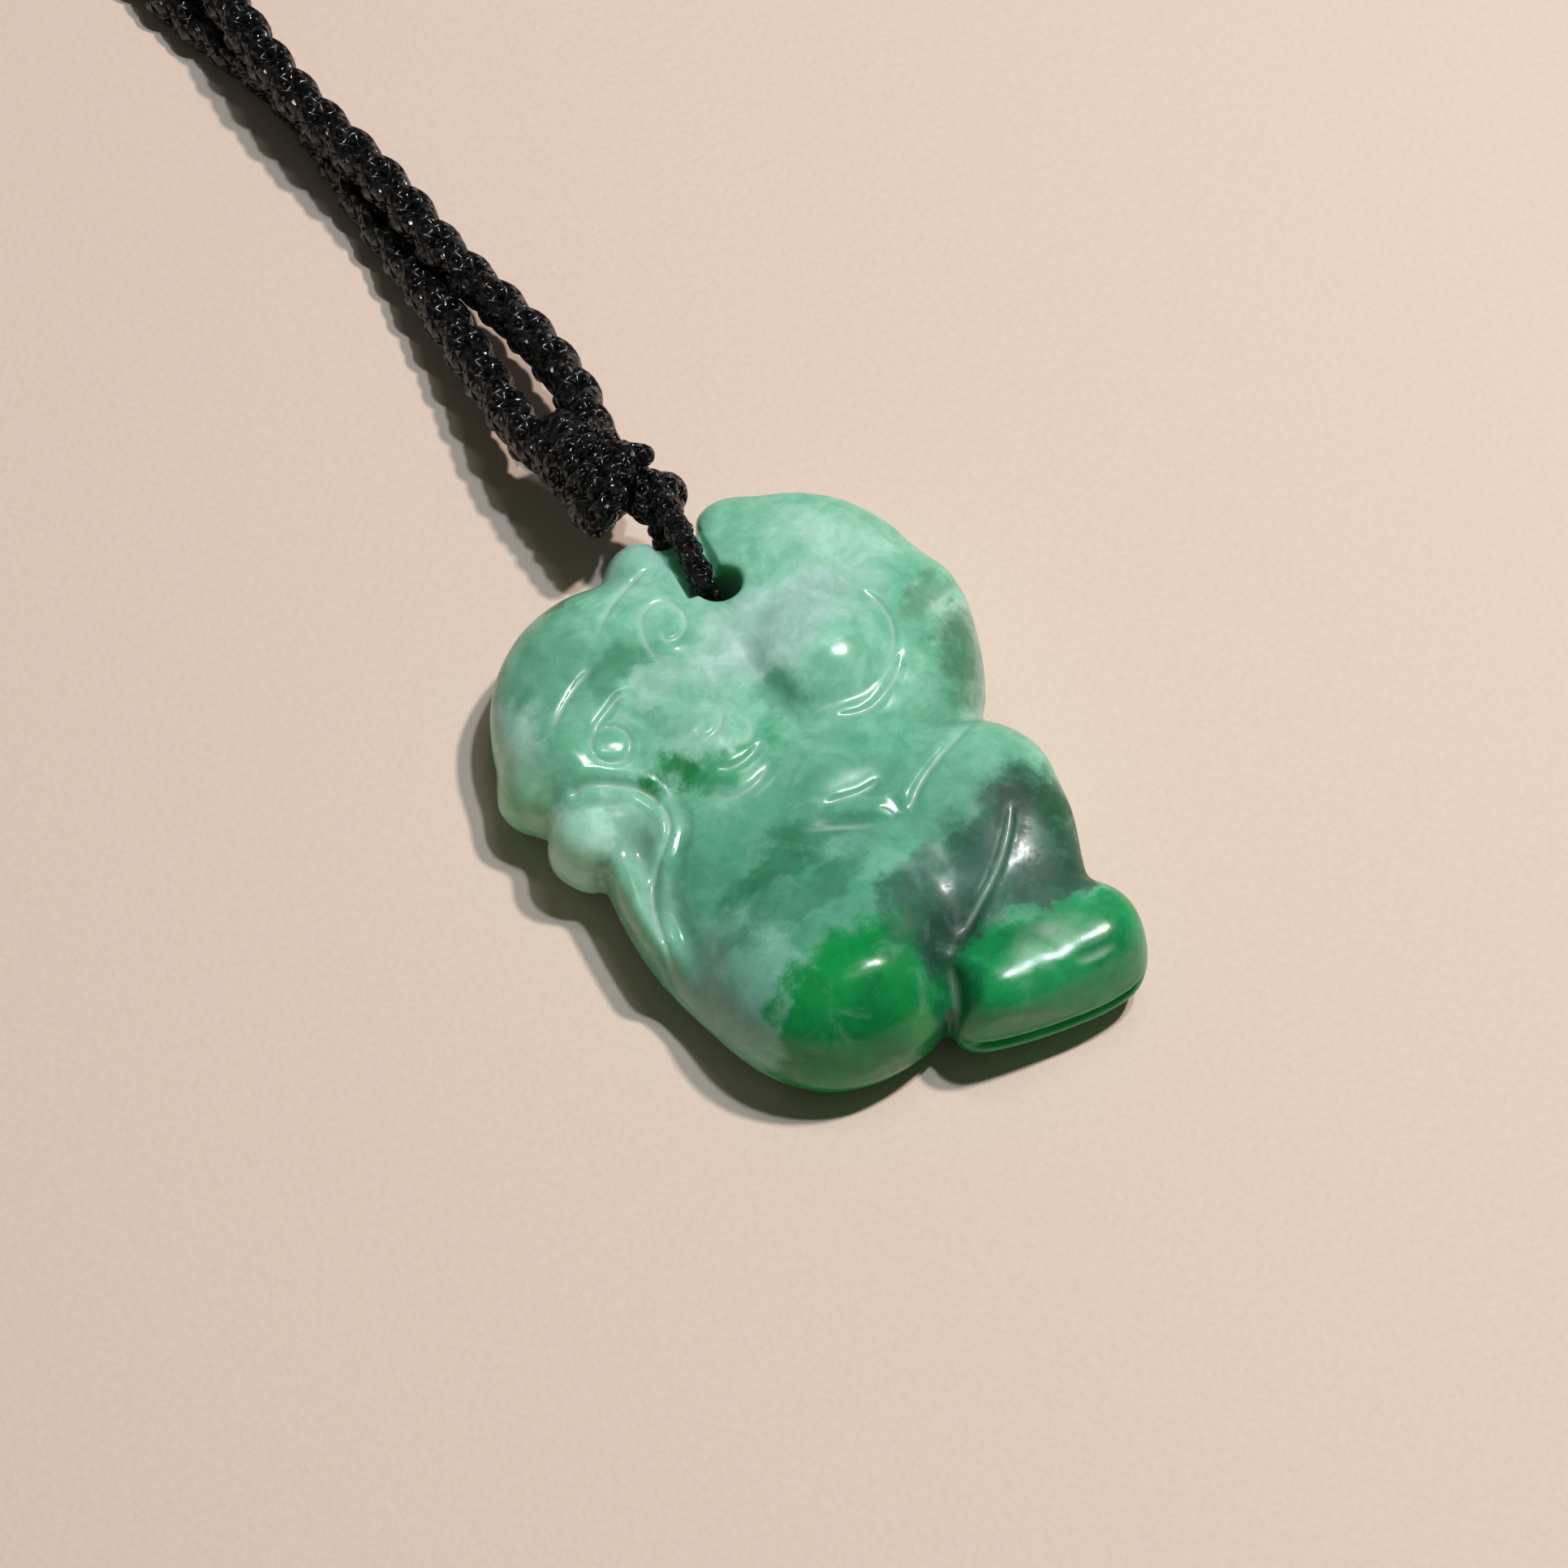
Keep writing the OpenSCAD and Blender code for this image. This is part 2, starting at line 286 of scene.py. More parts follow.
bail_across = (BAIL_OUT[1], -BAIL_OUT[0], 0)
bail_loop = tubes_piece("bail_loop", braid_parts(bail_line(), BAIL_D, THIN_PITCH, up=bail_across))


def button_line(centre, radius):
    """Line of one cord that winds three times round a ball, rising and falling four times."""
    t = np.linspace(0, 2 * math.pi, 241)
    lift = 0.95 * np.sin(4 * t)
    reach = radius * (1 + 0.1 * np.cos(12 * t))
    x, y = reach * np.cos(lift) * np.cos(3 * t), reach * np.cos(lift) * np.sin(3 * t)
    return np.column_stack([x, y, reach * np.sin(lift)]) + centre


def button_parts(centre, radius, step, cord_r, core_r, core_half):
    """A ball knot: its winding cord, and the core that shows between the turns."""
    cord = tube_parts(spaced(button_line(centre, radius), step), cord_r, 12, up=(0.1, 0.2, 1))
    ends = np.array([(0, 0, -core_half), (0, 0, 0), (0, 0, core_half)])
    return [cord, tube_parts(centre + ends, core_r, 16, up=(1, 0, 0))]


bail_tie = tubes_piece(
    "bail_tie",
    button_parts(KNOT, radius=1.13, step=0.12, cord_r=0.5, core_r=1.05, core_half=0.4),
)

# The binding knot: slanting turns of cord round the two strands, past the bail's knot
BIND_A = np.array([0, 18.9, 4.9])
BIND_B = np.array([-0.8, 23.7, 5])
BIND_R = 1.75
BIND_CORD = 1.5
BIND_PITCH = 2.8
BIND_TURNS = 5
# The wraps: where they start, how far each leans, how much they narrow, and their unevenness
BIND_START, BIND_SLANT, BIND_NARROW, BIND_RIPPLE = 0.5, 0.5, 0.12, 0.1
BIND_CORE_R = 1.5
# Room that the binding leaves round the middle of the bail's knot
KNOT_CLEAR = 1.85


def clear_of_knot(line, reach):
    """The line pushed off the bail's knot, which rolls in the end of the binding."""
    away = line - KNOT
    far = np.linalg.norm(away, axis=1, keepdims=True)
    return KNOT + away * np.maximum(1, (KNOT_CLEAR + reach) / far)


def binding_parts():
    """Slanting turns of cord round the two strands, and the core that they hold."""
    axis = unit(BIND_B - BIND_A)
    side = unit(np.cross(axis, [0, 0, 1]))
    top = np.cross(side, axis)
    t = np.linspace(0, BIND_TURNS, BIND_TURNS * 40 + 1)
    angle = 2 * math.pi * t
    reach = BIND_R * (1 - BIND_NARROW * (t / BIND_TURNS) ** 2) + BIND_RIPPLE * np.sin(2.6 * angle)
    ahead = BIND_START + t + BIND_SLANT * np.cos(angle + 0.6)
    wraps = BIND_A + ahead[:, None] * axis
    wraps = wraps + reach[:, None] * (np.cos(angle)[:, None] * side + np.sin(angle)[:, None] * top)
    wraps = spaced(clear_of_knot(wraps, BIND_CORD / 2), 0.15)
    core = np.array([BIND_A + 1.2 * axis - 0.8 * side, BIND_A + 3.5 * axis - 0.2 * side, BIND_B + axis])
    core = spaced(clear_of_knot(smooth_route(core, 12), BIND_CORE_R), 0.2)
    return braid_parts(wraps, BIND_CORD, BIND_PITCH, up=axis) + [tube_parts(core, BIND_CORE_R, 20)]


binding = tubes_piece("binding", binding_parts())
# The wrapping cord's cut end, which stands out beside the knot
CORD_END = [(0.3, 21.5, 6.3), (1, 21, 7), (1.7, 20.4, 7.2)]
CORD_END_R = 0.62
cord_end = tubes_piece("cord_end", [tube_parts(spaced(smooth_route(CORD_END, 8), 0.15), CORD_END_R, 14)])

# The coil's tie, and the clasp: a button knot and the loop that takes it
TIE_ANGLE = math.radians(-110)
TIE_R = 0.4
TIE_TURNS = 3
# Heights of the tie's middle: under the coil, over its outer wall and over its inner wall
TIE_LOW, TIE_STEP, TIE_HIGH = 1.6, 7.3, 9.7


def tie_parts():
    """Thin cord wound round both walls of the coil, over the step between them."""
    out = np.array([math.cos(TIE_ANGLE), math.sin(TIE_ANGLE), 0])
    along = np.array([-out[1], out[0], 0])
    inner, outer = COIL_R - CORD_D / 2 - TIE_R, COIL_R + 1.5 * CORD_D + TIE_R
    corners = [(inner + 1, TIE_LOW), (outer - 1, TIE_LOW), (outer, TIE_LOW + 1), (outer, TIE_STEP - 1)]
    corners += [(outer - 0.8, TIE_STEP), (COIL_R + 0.6, TIE_HIGH), (inner + 0.8, TIE_HIGH)]
    corners += [(inner, TIE_HIGH - 1), (inner, TIE_LOW + 1)]
    steps = TIE_TURNS * len(corners)
    line = []
    for i in range(steps + 1):
        u, z = corners[i % len(corners)]
        line.append(out * u + along * (2 * i / steps - 1) + np.array([COIL[0], COIL[1], z]))
    return [tube_parts(spaced(smooth_route(line, 6), 0.25), TIE_R, 10, up=along)]


def middle_of(node):
    """Middle of a node's box, in millimetres."""
    low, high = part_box(node)
    return np.array((low + high) / 2) / MM


coil_tie = tubes_piece("coil_tie_cord", tie_parts())
button_at = middle_of("button_knot")
button = tubes_piece(
    "button",
    button_parts(button_at, radius=1.75, step=0.15, cord_r=0.66, core_r=1.45, core_half=0.5),
)

LOOP_R = 3
loop_angle = np.linspace(0, 2 * math.pi, 121)
loop_ring = np.column_stack([np.cos(loop_angle), np.sin(loop_angle), 0 * loop_angle])
clasp = tubes_piece("clasp", braid_parts(middle_of("clasp_loop") + LOOP_R * loop_ring, BAIL_D, THIN_PITCH))


# ---------------------------------------------------------------- carving

# Height of the widest part of the wall, and how far the flat back stays inside the outline
RIM_Z = 2.6
BACK_EDGE = 2.4
# Cell of the surface, step of the plan's grid, and room round the CAD solid's box
VOXEL = 0.17
PLAN_STEP = 0.07
MARGIN = 0.6
# Half width of the pale line that an engraved stroke carries, partly the ground groove's own whitish colour
# and partly painted highlight, and the faintest that gets finer faces
MARK_W = 0.15
FAINTEST_MARK = 0.03

# Outline of the carving, clockwise from the bump to the right of the bail
OUTLINE = [
    (2.7, 16.5), (3.3, 17.2), (4.3, 17.6), (5.4, 17.3), (6.5, 16.5), (8.3, 15.8), (9.9, 14.8),
    (11.3, 13.3), (12.2, 11.6), (12.5, 10.3), (12.8, 9.8), (13.4, 9.5), (13.7, 8.5), (13.7, 6.7),
    (13.4, 4.9), (12.9, 3.2), (12.2, 1.6),
    (11.5, 0.5), (11.7, -0.5), (12.3, -1.6), (12.7, -3), (12.7, -4.6), (12.5, -6.3), (12.1, -8.2),
    (11.6, -9.8), (11.3, -11.1), (11.9, -11.8), (12.4, -12.8), (12.5, -14.3), (12.2, -15.9),
    (11.2, -16.9), (9.6, -17.3), (7.3, -17.3), (4.6, -17), (2.5, -16.5), (1.6, -15.8), (1.3, -14.9),
    (0.4, -15.2), (-1.4, -15.6), (-3.4, -15.6), (-5.4, -15), (-7.1, -13.7), (-8.4, -11.8),
    (-9.3, -9.4), (-10.1, -6.7), (-10.5, -4.4), (-10.6, -2), (-10.5, -0.2), (-10.6, 0.5), (-11.2, 0.8),
    (-11.8, 1.4), (-12.3, 2.4), (-12.3, 3.3), (-11.9, 4), (-11.8, 4.5), (-12.3, 5.1), (-13, 5.9),
    (-13.3, 7), (-13, 8), (-12.5, 9), (-12.1, 10.4), (-11.4, 12), (-10.3, 13.5), (-8.8, 14.8),
    (-7, 15.8), (-5.2, 16.2), (-3.8, 16), (-3, 16.4), (-2.2, 17.1), (-1, 17.5), (0.1, 17),
    (0.8, 16.1), (1.4, 15.8), (2.1, 15.8),
]

# Broad masses: two ends of the spine, radius, height at the edge and at the top, fullness
MASSES = {
    "head": ((-4.8, 8.5), (-4.8, 8.5), 7.9, 1.5, 7.2, 2.8),
    "fruit": ((4.9, 6.9), (4.9, 6.9), 8.9, 2.5, 7.2, 2.8),
    "leaf": ((5, 9.9), (5, 9.9), 8, 2.5, 6.9, 2.8),
    "trunk": ((-1, -3), (1.5, -2), 8.4, 1, 7.0, 3),
    "haunch": ((-2.4, -9.1), (-2.2, -9.2), 6.8, 1, 7.8, 3.2),
    "thigh": ((1, -7.4), (6.2, -6), 5.2, 1, 6.9, 3.4),
    "knee": ((8.5, -4.6), (8.1, -6.6), 4.7, 1.5, 7.3, 2.8),
    "shin": ((8.6, -7), (7.2, -11), 4.4, 1, 6.9, 3),
    "foot": ((4.3, -14.5), (9.6, -14.2), 3.3, 1.4, 6.9, 3),
    "ear": ((-11, 6), (-10.6, 6.8), 2.6, 1, 5.4, 2.3),
    "tail tip": ((-10.3, 2.6), (-8.2, 2.2), 2.4, 1, 6, 2.8),
    "tail edge": ((-9.7, 1), (-9.7, -5), 1.3, 1, 5.4, 2.8),
    "left bump": ((-1, 15.4), (-1, 15.2), 2.3, 2, 6, 2.4),
    "right bump": ((4.2, 15.6), (4.4, 15.2), 2.3, 2, 6.1, 2.4),
    "leaf tip": ((12, 7.8), (12, 6.4), 2, 2, 5.8, 2.4),
}
# The body under the masses: its height, how far in it reaches that height, and its fullness
FLOOR_Z, FLOOR_W, FLOOR_FULL = 6.3, 6, 2.2
# Edge height of the body, below the rim
FLOOR_DROP = 0.4
# How steeply a mass falls outside its radius, in millimetres for each radius
CROWN_FALL = 12
# How round the joins between masses are, and the reach of the blur over them, in grid steps
MASS_JOIN, MASS_BLUR = 0.4, 5

# Gentle swells and hollows: centre, half sizes, turn in degrees, height
SWELLS = {
    "fruit side": ((1.2, 5.6), (0.8, 3.2), 6, -0.4),
    "muzzle": ((-2.5, 3.2), (2, 1.9), 20, 0.75),
    "cheek": ((-9.9, 5.6), (1.6, 2.4), 15, 1),
    "eye socket": ((-7.4, 5.7), (1.7, 1.7), 0, -0.25),
    "eyeball": ((-7.45, 5.6), (0.8, 0.8), 0, 0.3),
    "haunch front": ((-2.2, -12.4), (3.4, 1.6), 0, 0.4),
    "brow gap": ((-5.2, 5.6), (0.9, 1.7), 20, -0.2),
    "jaw": ((-4.7, 1.2), (1.7, 0.7), -35, -0.25),
    "throat": ((-2.2, -0.6), (2.4, 0.8), 5, -0.2),
    "arm": ((2.3, -1.1), (2.9, 1.2), 0, 0.25),
    "hand": ((1.8, -5.9), (1.7, 1.2), -20, 0.15),
    "waist": ((-5, -5.4), (3.2, 0.7), 20, -0.2),
    "lap": ((4.2, -5.2), (0.8, 1.8), 40, -0.2),
    "hock": ((3.4, -12), (2, 1.3), 40, -0.35),
    "heel": ((1.7, -14), (0.7, 1.6), 5, -0.9),
}

# The round fruit's dome, which ends in a crease: centre, radius, height, and the crease's softness
FRUIT_DOME = ((4.8, 5.8), 3.5, 1.0)
FRUIT_CREASE = 0.01

# Engraved strokes: points, half width, depth, and how much of each end fades out
STROKES = {
    "crown": ([(-0.3, 14.7), (-1.8, 14.4), (-3.3, 13.5), (-4.5, 12.5), (-5.5, 11.4)], 0.26, 0.13, 0.3),
    "curl": (
        [
            (-2.2, 10.5), (-2.3, 9.8), (-1.7, 9.6), (-0.9, 10.2), (-0.7, 11.2), (-1.1, 12.1),
            (-2, 12.2), (-2.7, 11.7), (-3.1, 10.8), (-3.3, 9.7), (-3, 7.9),
        ],
        0.22, 0.12, 0.1,
    ),
    "curl mark": ([(-2.4, 9), (-1.8, 8.8), (-1.2, 8.5)], 0.25, 0.08, 0.4),
    "brow": ([(-6.2, 10), (-7.2, 9.6), (-8.2, 9), (-9.1, 8.3), (-9.9, 7.5)], 0.3, 0.15, 0.25),
    "upper lid": ([(-5, 7.6), (-5.8, 7.8), (-6.7, 7.4), (-7.6, 6.9), (-8.3, 6.3)], 0.25, 0.14, 0.2),
    "lower lid": ([(-8.8, 5.6), (-8.3, 4.9), (-7.4, 4.5), (-6.5, 4.8)], 0.22, 0.12, 0.3),
    "nose": ([(-3.9, 3.5), (-3.1, 3.4), (-2.3, 3.7), (-1.8, 4.3), (-1.4, 5)], 0.26, 0.13, 0.3),
    "nostril": ([(-3.6, 4), (-3.2, 4.1), (-2.8, 4.1)], 0.2, 0.1, 0.4),
    "muzzle ring": ([(-1, 4.3), (-0.7, 3.3), (-1.2, 2.5), (-2.1, 2.3)], 0.3, 0.06, 0.4),
    "mouth": ([(-3.4, 1.8), (-2.8, 1.5), (-2.1, 1.5), (-1.4, 1.7), (-0.6, 2.2)], 0.25, 0.14, 0.25),
    "chin": ([(-4.2, 0.8), (-3.5, 0.1), (-2.8, 0), (-1.8, 0.2), (-0.7, 0.8)], 0.26, 0.14, 0.25),
    "tail top": (
        [(-10.6, 4.2), (-9.6, 4.2), (-8.5, 3.8), (-7.6, 3.2), (-6.9, 2.4), (-6.6, 1.6)],
        0.4, 0.36, 0.12,
    ),
    "tail line": (
        [
            (-6.7, 2), (-6.6, 0.9), (-7, -0.1), (-8, -1), (-9, -2.2), (-9.5, -3.6), (-9.8, -5.4),
            (-9.8, -7.2), (-9.4, -9.4),
        ],
        0.28, 0.22, 0.12,
    ),
    "fruit ring": ([(7.9, 8), (8.5, 6.9), (8.6, 5.7), (8.1, 4.3), (7, 3.2)], 0.3, 0.16, 0.25),
    "fruit fold": (
        [(3.3, 1.8), (4.3, 1.5), (5.4, 1.5), (6.5, 2), (7.6, 2.8), (8.4, 3.9)],
        0.28, 0.16, 0.2,
    ),
    "leaf vein": ([(13.2, 6.7), (11.9, 6), (10.6, 5.5)], 0.4, 0.1, 0.4),
    "sleeve": ([(0.4, -2.6), (1.4, -2.7), (2.3, -2.8), (3.1, -2.75), (3.9, -2.5)], 0.26, 0.13, 0.25),
    "underarm": ([(-1.4, -3.4), (0, -3.9), (1.2, -4.5), (2.3, -5)], 0.5, 0.1, 0.4),
    "finger": ([(2.8, -3.9), (3.2, -4.4), (3.5, -4.9)], 0.26, 0.12, 0.4),
    "knee": (
        [(9.8, -1.3), (8.4, -2.1), (7, -2.8), (5.8, -3.5), (4.9, -4.2), (4.2, -5)],
        0.34, 0.24, 0.2,
    ),
    "shin": (
        [(9.1, -6.8), (8.3, -8), (7.2, -9.3), (5.9, -10.4), (4.4, -11.4), (3.4, -12)],
        0.28, 0.2, 0.25,
    ),
    "crotch": ([(2.2, -13), (2.1, -14), (1.8, -14.8), (1.4, -15.6)], 0.4, 0.3, 0.3),
    "toe": ([(7.6, -16.1), (8.8, -16.2), (10.2, -16.1)], 0.25, 0.1, 0.4),
}

# Broad soft creases, which carry no pale line
FOLDS = {
    "tail step": ([(-11.4, 3.5), (-9.8, 3.6), (-8.5, 3.2), (-7.6, 2.6)], 0.8, 0.2, 0.3),
    "tail flute": ([(-8.4, 1.8), (-8.5, 0.2), (-8.9, -1.4), (-9.4, -3.2), (-9.8, -5)], 0.9, 0.4, 0.3),
    "flank": (
        [(-6, 2), (-5.9, 0.6), (-6.4, -0.6), (-7.4, -1.8), (-8.3, -3.4), (-8.7, -5.6), (-8.7, -8)],
        0.7, 0.25, 0.2,
    ),
    "leg side": ([(4, -3.6), (3.6, -5), (3.8, -6.6)], 0.9, 0.15, 0.4),
}
# Ring round the eye: centre, radius, half width, depth; and how flat and how pale it is, its pale line
# being partly painted highlight
EYE_RING = ((-7.5, 5.6), 1.02, 0.22, 0.12)
EYE_SQUASH, EYE_MARK = 1.05, 0.8
# Grooves along the side of the sole: height, half width, depth
FOOT_GROOVES = ((2.6, 0.42, 0.4), (1.6, 0.26, 0.2))
# Where the sole's side is: below this y, and between these two x, each fading in over a width
SOLE_TOP, SOLE_LEFT, SOLE_RIGHT, SOLE_FADE = -14.4, 1.6, 12, 1.2
# Slight unevenness of the polish: waves across and along, phase, height
GENTLE_WAVES = (
    (1.9, 0.7, 0.3, 0.015),
    (-0.8, 2.3, 1.7, 0.012),
    (1.3, -1.6, 4.1, 0.012),
    (3.1, 2.2, 2.2, 0.006),
)
# The bail's channel: how much each side opens, how steep they are, where its bridge ends, its seat's depth
CHANNEL_OPEN = math.tan(math.radians(4))
VALLEY_RISE = 4
BRIDGE_W = 3.8
BACK_SEAT = 2.3
# The hole leans towards the fruit above this height, by this much for each millimetre up to a limit
HOLE_LEAN, HOLE_LEAN_FROM, HOLE_LEAN_OVER = 0.22, 4.6, 3
# Distance from the front for each millimetre above it, since most of the front slopes
FRONT_SHARE = 0.75
# How far each rounded join reaches: front to wall, hole, channel, seat
WALL_JOIN, HOLE_JOIN, CHANNEL_JOIN, SEAT_JOIN = 0.5, 0.25, 0.3, 0.2


def closed_curve(points, steps):
    """A smooth closed curve through points in the plane."""
    p = np.asarray(points, float)
    a, c, d = np.roll(p, 1, 0), np.roll(p, -1, 0), np.roll(p, -2, 0)
    t = (np.arange(steps) / steps)[None, :, None]
    a, b, c, d = (v[:, None] for v in (a, p, c, d))
    bend = (2 * a - 5 * b + 4 * c - d) * t**2 + (3 * b - a - 3 * c + d) * t**3
    return (0.5 * (2 * b + (c - a) * t + bend)).reshape(-1, 2)


def spine_distance(x, y, a, b):
    """Distance in the plane from the straight line between a and b, and the share along it."""
    dx, dy = b[0] - a[0], b[1] - a[1]
    long = dx * dx + dy * dy
    t = np.clip(((x - a[0]) * dx + (y - a[1]) * dy) / long, 0, 1) if long > 0 else np.zeros_like(x)
    return np.hypot(x - a[0] - t * dx, y - a[1] - t * dy), t


def outline_distance(x, y):
    """Distance from the outline, negative inside it."""
    curve = closed_curve(OUTLINE, 4)
    best, inside = np.full(x.shape, 1e9), np.zeros(x.shape, bool)
    for a, b in zip(curve, np.roll(curve, -1, 0)):
        best = np.minimum(best, spine_distance(x, y, a, b)[0])
        spans = (a[1] > y) != (b[1] > y)
        rise = b[1] - a[1] if b[1] != a[1] else 1e-9
        inside ^= spans & (x < a[0] + (y - a[1]) * (b[0] - a[0]) / rise)
    return np.where(inside, -best, best)


def soft_max(values, k):
    """The largest of several fields, with the joins between them rounded over about k."""
    top = np.max(values, axis=0)
    return top + k * np.log(sum(np.exp((v - top) / k) for v in values))


def joined_max(a, b, k):
    """The larger of two fields, with a round join that reaches k to each side."""
    h = np.clip(0.5 + 0.5 * (a - b) / k, 0, 1)
    return a * h + b * (1 - h) + k * h * (1 - h)


def smoothed(field, reach):
    """A field on the plan's grid, blurred over a reach in grid steps."""
    spread = np.arange(-3 * reach, 3 * reach + 1)
    weight = np.exp(-0.5 * (spread / reach) ** 2)
    weight = weight / weight.sum()
    for axis in (0, 1):
        padded = np.pad(field, [(3 * reach, 3 * reach) if k == axis else (0, 0) for k in (0, 1)], "edge")
        size = field.shape[axis]
        field = sum(w * np.take(padded, range(i, i + size), axis) for i, w in enumerate(weight))
    return field


def crown(share, low, top, full):
    """Height of a mass at a share of its radius: a dome, and a steep fall outside it."""
    inner = low + (top - low) * (1 - np.clip(share, 0, 1) ** full) ** (1 / full)
    return np.where(share < 1, inner, low - CROWN_FALL * (share - 1))


# A groove's lips: how far out they end, in half widths, and their height against its depth
LIP_END, LIP_HIGH = 2.2, 0.12


def groove(distance, width):
    """Profile across an engraved line: a round-bottomed cut with slight lips."""
    u = distance / width
    cut = np.where(u < 1, (1 - np.clip(u, 0, 1) ** 2) ** 2, 0)
    lip = np.where((u > 1) & (u < LIP_END), np.sin(math.pi * (u - 1) / (LIP_END - 1)) ** 2, 0)
    return cut - LIP_HIGH * lip


def stroke_cut(x, y, points, width, depth, fade):
    """Depth that one engraved stroke takes off, and how close to its line each point is."""
    line = smooth_route([(px, py, 0) for px, py in points], 4)[:, :2]
    reach = LIP_END * width
    cut, mark = np.zeros_like(x), np.zeros_like(x)
    near = (x > line[:, 0].min() - reach) & (x < line[:, 0].max() + reach)
    near &= (y > line[:, 1].min() - reach) & (y < line[:, 1].max() + reach)
    best, share = np.full(int(near.sum()), 1e9), np.zeros(int(near.sum()))
    for i in range(len(line) - 1):
        d, t = spine_distance(x[near], y[near], line[i], line[i + 1])
        closer = d < best
        best = np.where(closer, d, best)
        share = np.where(closer, (i + t) / (len(line) - 1), share)
    ends = np.clip(np.minimum(share, 1 - share) / fade, 0, 1)
    ends = ends * ends * (3 - 2 * ends)
    cut[near] = depth * groove(best, width) * ends
    # The mark sets a pale line along the stroke: partly the groove's whitish colour, partly painted
    # highlight
    mark[near] = np.exp(-((best / MARK_W) ** 2)) * ends
    return cut, mark


def channel_gap(x, y, wide):
    """How far inside the channel that the bail leans in a point is, and how far along it."""
    ahead, across = BAIL_OUT, np.array([BAIL_OUT[1], -BAIL_OUT[0]])
    u = (x - LEG[0]) * ahead[0] + (y - LEG[1]) * ahead[1]
    v = (x - LEG[0]) * across[0] + (y - LEG[1]) * across[1]
    side = wide + np.clip(u, 0, None) * CHANNEL_OPEN - np.abs(v)
    return np.minimum(side, u + 0.1), u


def swell(x, y, centre, half, turn, size):
    """Height that one gentle swell adds."""
    c, s = math.cos(math.radians(turn)), math.sin(math.radians(turn))
    u = ((x - centre[0]) * c + (y - centre[1]) * s) / half[0]
    v = ((y - centre[1]) * c - (x - centre[0]) * s) / half[1]
    return size * np.exp(-(u * u + v * v))


def draw_plan(x, y):
    """On the plan's grid: distance from the outline, height of the front, and engraved marks, which set
    pale lines that are partly painted highlight.
    """
    edge = outline_distance(x, y)
    crown_sheen = [
        crown(spine_distance(x, y, a, b)[0] / radius, low, top, full)
        for a, b, radius, low, top, full in MASSES.values()
    ]
    share, rim = -edge / FLOOR_W, RIM_Z - FLOOR_DROP
    body = crown(1 - share, rim, FLOOR_Z, FLOOR_FULL)
    crown_sheen.append(np.where(share > 0, body, rim + CROWN_FALL * share))
    height = smoothed(soft_max(crown_sheen, MASS_JOIN), MASS_BLUR)
    for centre, half, turn, size in SWELLS.values():
        height = height + swell(x, y, centre, half, turn, size)
    centre, radius, size = FRUIT_DOME
    inner = 1 - ((x - centre[0]) ** 2 + (y - centre[1]) ** 2) / radius**2
    height = height + size * 0.5 * (inner + np.sqrt(inner**2 + FRUIT_CREASE))
    for fx, fy, shift, size in GENTLE_WAVES:
        height = height + size * np.sin(fx * x + fy * y + shift)
    marks = np.zeros_like(x)
    for points, width, depth, fade in STROKES.values():
        cut, mark = stroke_cut(x, y, points, width, depth, fade)
        height = height - cut
        marks = np.maximum(marks, mark)
    for points, width, depth, fade in FOLDS.values():
        height = height - stroke_cut(x, y, points, width, depth, fade)[0]
    centre, radius, width, depth = EYE_RING
    ring = np.abs(np.hypot(x - centre[0], (y - centre[1]) * EYE_SQUASH) - radius)
    marks = np.maximum(marks, EYE_MARK * np.exp(-((ring / MARK_W) ** 2)))
    height = height - depth * groove(ring, width)
    gap = channel_gap(x, y, BAIL_D / 2 + 0.15)[0]
    valley = BAIL_HIGH - BAIL_D / 2 - CLEARANCE + VALLEY_RISE * np.clip(-gap, 0, None)
    return edge, -soft_max([-height, -valley], 0.1), marks


class Plan:
    """The plan, drawn once on a fine grid and read back between its points."""

    def __init__(self, low, high):
        self.low = np.array(low)
        axes = [np.arange(low[k], high[k] + PLAN_STEP, PLAN_STEP) for k in (0, 1)]
        x, y = np.meshgrid(axes[0], axes[1], indexing="ij")
        self.layers = np.stack(draw_plan(x, y), -1)

    def at(self, x, y):
        """Outline distance, height and marks at points in the plane."""
        u = (np.stack([x, y], -1) - self.low) / PLAN_STEP
        cell = np.clip(np.floor(u).astype(int), 0, np.array(self.layers.shape[:2]) - 2)
        f = u - cell
        i, j = cell[..., 0], cell[..., 1]
        fx, fy = f[..., :1], f[..., 1:]
        near = self.layers[i, j] * (1 - fx) + self.layers[i + 1, j] * fx
        far = self.layers[i, j + 1] * (1 - fx) + self.layers[i + 1, j + 1] * fx
        return near * (1 - fy) + far * fy


def carving_field(plan, x, y, z):
    """Negative inside the carving."""
    layers = plan.at(x, y)
    edge, height = layers[..., 0], layers[..., 1]
    depth = np.clip((RIM_Z - z) / RIM_Z, 0, 1)
    wall = edge + BACK_EDGE * (1 - np.sqrt(1 - depth**2))
    sole = np.clip((SOLE_TOP - y) / SOLE_FADE, 0, 1) * np.clip((x - SOLE_LEFT) / SOLE_FADE, 0, 1)
    sole = sole * np.clip((SOLE_RIGHT - x) / SOLE_FADE, 0, 1)
    for level, width, size in FOOT_GROOVES:
        wall = wall + size * sole * groove(np.abs(z - level), width)
    field = np.maximum(joined_max(FRONT_SHARE * (z - height), wall, WALL_JOIN), -z)
    lean = HOLE_LEAN * np.clip(z - HOLE_LEAN_FROM, 0, HOLE_LEAN_OVER)
    field = joined_max(field, HOLE_R - np.hypot(x - HOLE[0] - lean, y - HOLE[1]), HOLE_JOIN)
    gap, u = channel_gap(x, y, BAIL_D / 2 + CLEARANCE)
    field = joined_max(field, np.minimum(gap, u - BRIDGE_W), CHANNEL_JOIN)
    return joined_max(field, np.minimum(gap, BACK_SEAT - z), SEAT_JOIN)


